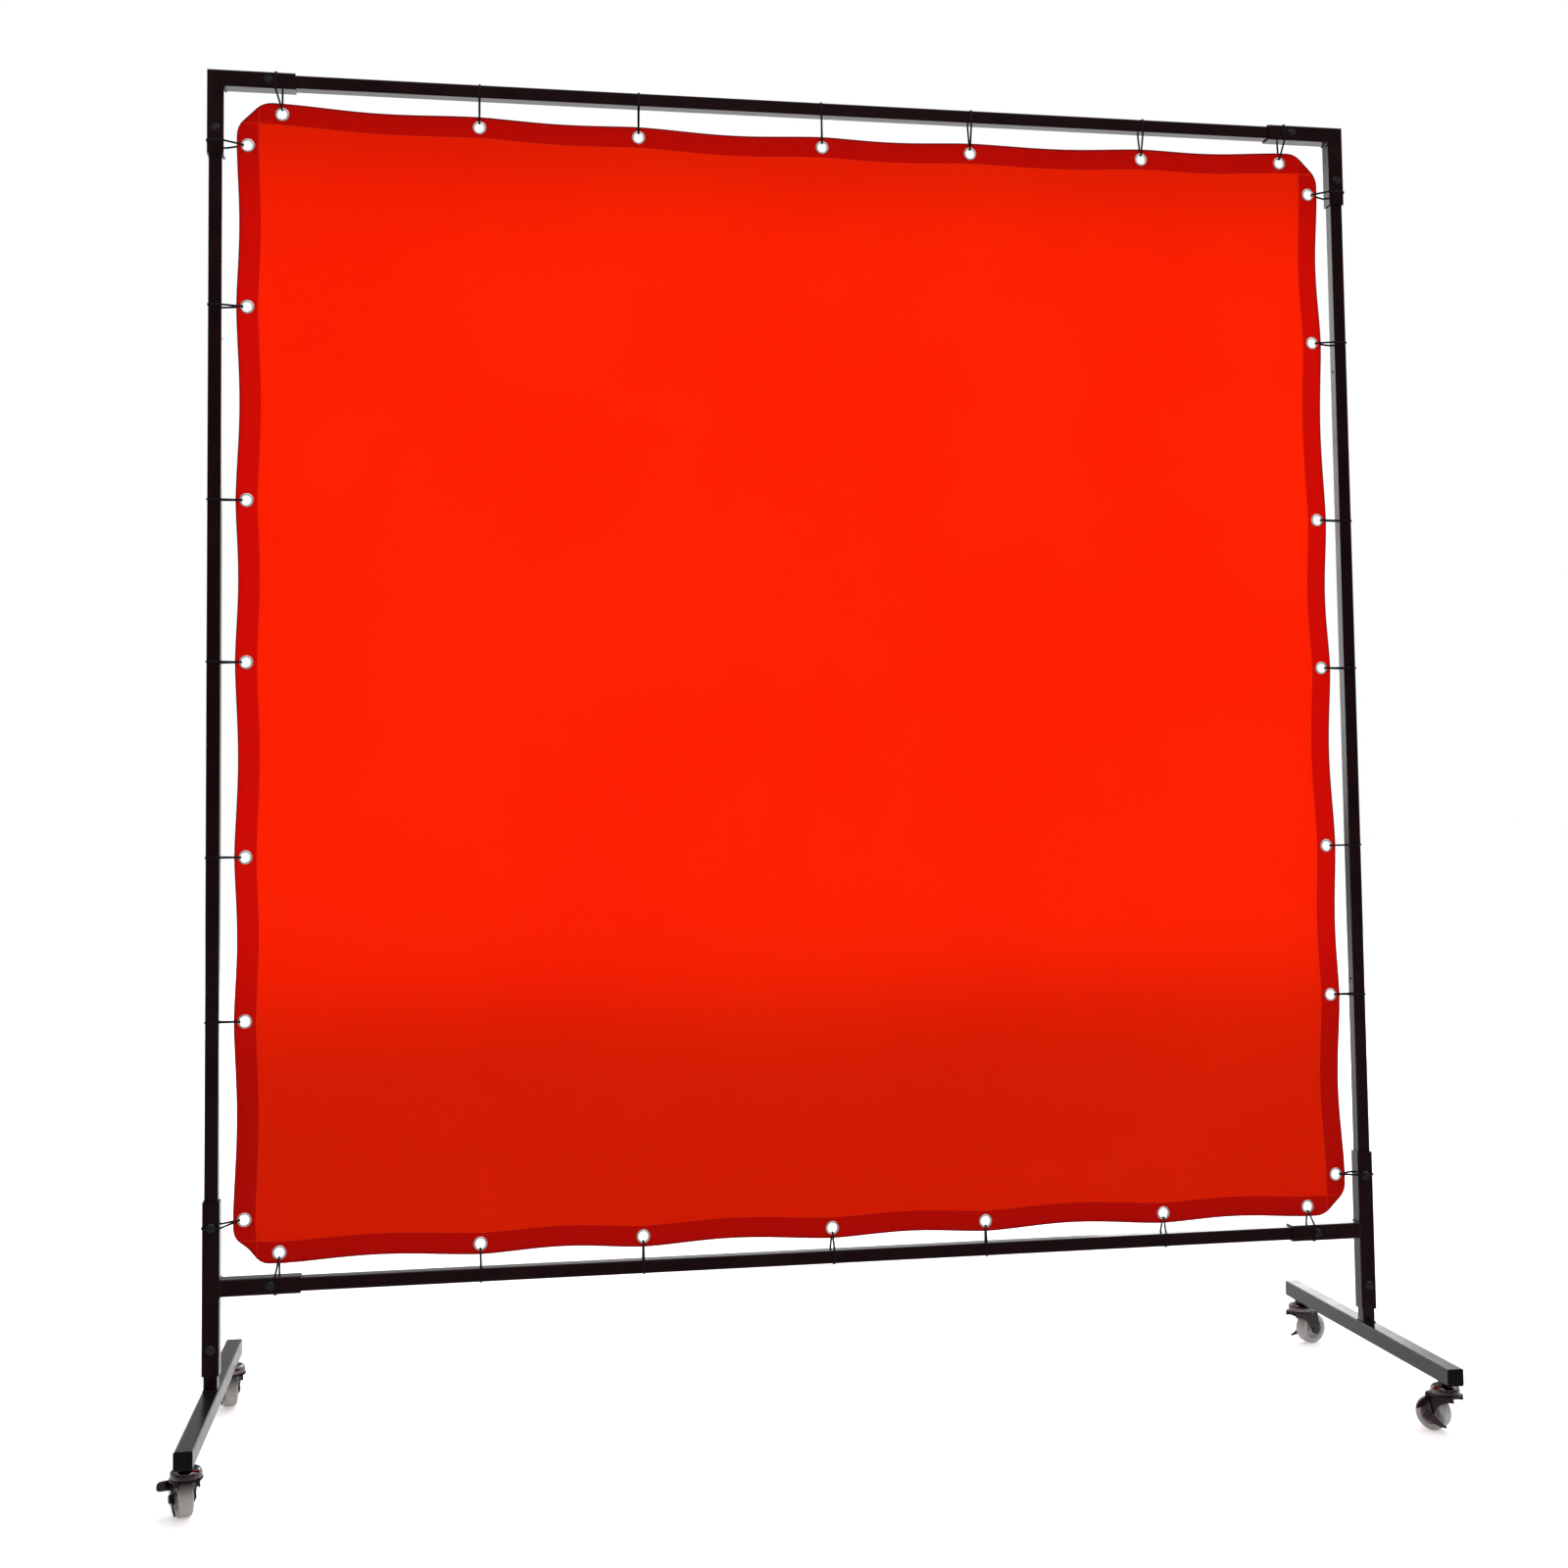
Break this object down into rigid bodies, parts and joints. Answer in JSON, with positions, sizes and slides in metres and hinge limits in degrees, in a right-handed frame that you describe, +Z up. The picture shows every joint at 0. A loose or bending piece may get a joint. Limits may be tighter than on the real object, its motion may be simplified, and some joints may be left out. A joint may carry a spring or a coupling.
{
  "type": "welding curtain screen",
  "caption": "Mobile welding screen: a square-tube frame on braked swivel casters, holding a PVC curtain tied in through eyelets.",
  "frame": {"origin": "on the floor, under the middle of the frame", "axes": "+Z up, X along the frame's width with +X to the right from the front, -Y the front"},
  "size_m": [1.8861, 0.5632, 2.0608],
  "materials": {
    "frame_paint": "gloss black",
    "cap_plastic": "satin",
    "black_steel": "satin",
    "curtain_pvc": "smooth",
    "eyelet_steel": "nickel plated",
    "tie_nylon": "satin",
    "ball_steel": "polished",
    "zinc_steel": "zinc plated",
    "race_chrome": "bright",
    "grey_tyre": "satin",
    "grey_plastic": "satin",
    "lever_steel": "zinc plated"
  },
  "bodies": {
    "frame": {"top_rail": "frame_paint", "lower_rail": "frame_paint", "upright_left": "frame_paint", "upright_right": "frame_paint", "elbow_left_vertical": "frame_paint", "elbow_left_horizontal": "frame_paint", "elbow_right_vertical": "frame_paint", "elbow_right_horizontal": "frame_paint", "tee_left_sleeve": "frame_paint", "tee_left_stub": "frame_paint", "tee_right_sleeve": "frame_paint", "tee_right_stub": "frame_paint", "foot_left_tube": "frame_paint", "foot_left_post": "frame_paint", "foot_right_tube": "frame_paint", "foot_right_post": "frame_paint", "foot_caps": "cap_plastic", "frame_bolts": "black_steel", "frame_nuts": "black_steel", "curtain": "curtain_pvc", "eyelets": "eyelet_steel", "ties_left": "tie_nylon", "ties_right": "tie_nylon", "ties_top": "tie_nylon", "ties_bottom": "tie_nylon", "swivel_balls": "ball_steel", "stem_nuts": "zinc_steel", "caster_front_left_stem": "zinc_steel", "caster_front_left_race": "race_chrome", "caster_front_right_stem": "zinc_steel", "caster_front_right_race": "race_chrome", "caster_rear_left_stem": "zinc_steel", "caster_rear_left_race": "race_chrome", "caster_rear_right_stem": "zinc_steel", "caster_rear_right_race": "race_chrome"},
    "fork_front_left": {"caster_front_left_fork": "black_steel", "caster_front_left_axle": "zinc_steel"},
    "wheel_front_left": {"caster_front_left_tyre": "grey_tyre", "caster_front_left_hub": "grey_plastic"},
    "brake_front_left": {"caster_front_left_brake": "lever_steel"},
    "fork_front_right": {"caster_front_right_fork": "black_steel", "caster_front_right_axle": "zinc_steel"},
    "wheel_front_right": {"caster_front_right_tyre": "grey_tyre", "caster_front_right_hub": "grey_plastic"},
    "brake_front_right": {"caster_front_right_brake": "lever_steel"},
    "fork_rear_left": {"caster_rear_left_fork": "black_steel", "caster_rear_left_axle": "zinc_steel"},
    "wheel_rear_left": {"caster_rear_left_tyre": "grey_tyre", "caster_rear_left_hub": "grey_plastic"},
    "brake_rear_left": {"caster_rear_left_brake": "lever_steel"},
    "fork_rear_right": {"caster_rear_right_fork": "black_steel", "caster_rear_right_axle": "zinc_steel"},
    "wheel_rear_right": {"caster_rear_right_tyre": "grey_tyre", "caster_rear_right_hub": "grey_plastic"},
    "brake_rear_right": {"caster_rear_right_brake": "lever_steel"}
  },
  "joints": [
    {"name": "swivel_front_left", "type": "hinge", "parent": "frame", "child": "fork_front_left", "pos_m": [-0.9, -0.243, 0.06], "axis": [0, 0, 1], "continuous": true},
    {"name": "wheel_spin_front_left", "type": "hinge", "parent": "fork_front_left", "child": "wheel_front_left", "pos_m": [-0.90618, -0.22398, 0.025], "axis": [-0.9511, -0.309, 0], "continuous": true},
    {"name": "brake_lever_front_left", "type": "hinge", "parent": "fork_front_left", "child": "brake_front_left", "pos_m": [-0.90618, -0.22398, 0.025], "axis": [-0.9511, -0.309, 0], "range_deg": [0, 25]},
    {"name": "swivel_front_right", "type": "hinge", "parent": "frame", "child": "fork_front_right", "pos_m": [0.9, -0.243, 0.06], "axis": [0, 0, 1], "continuous": true},
    {"name": "wheel_spin_front_right", "type": "hinge", "parent": "fork_front_right", "child": "wheel_front_right", "pos_m": [0.8894, -0.22604, 0.025], "axis": [-0.848, -0.5299, 0], "continuous": true},
    {"name": "brake_lever_front_right", "type": "hinge", "parent": "fork_front_right", "child": "brake_front_right", "pos_m": [0.8894, -0.22604, 0.025], "axis": [-0.848, -0.5299, 0], "range_deg": [0, 25]},
    {"name": "swivel_rear_left", "type": "hinge", "parent": "frame", "child": "fork_rear_left", "pos_m": [-0.9, 0.243, 0.06], "axis": [0, 0, 1], "continuous": true},
    {"name": "wheel_spin_rear_left", "type": "hinge", "parent": "fork_rear_left", "child": "wheel_rear_left", "pos_m": [-0.90551, 0.26223, 0.025], "axis": [-0.9613, -0.2756, 0], "continuous": true},
    {"name": "brake_lever_rear_left", "type": "hinge", "parent": "fork_rear_left", "child": "brake_rear_left", "pos_m": [-0.90551, 0.26223, 0.025], "axis": [-0.9613, -0.2756, 0], "range_deg": [0, 25]},
    {"name": "swivel_rear_right", "type": "hinge", "parent": "frame", "child": "fork_rear_right", "pos_m": [0.9, 0.243, 0.06], "axis": [0, 0, 1], "continuous": true},
    {"name": "wheel_spin_rear_right", "type": "hinge", "parent": "fork_rear_right", "child": "wheel_rear_right", "pos_m": [0.91932, 0.24818, 0.025], "axis": [-0.2588, 0.9659, 0], "continuous": true},
    {"name": "brake_lever_rear_right", "type": "hinge", "parent": "fork_rear_right", "child": "brake_rear_right", "pos_m": [0.91932, 0.24818, 0.025], "axis": [-0.2588, 0.9659, 0], "range_deg": [0, 25]}
  ]
}
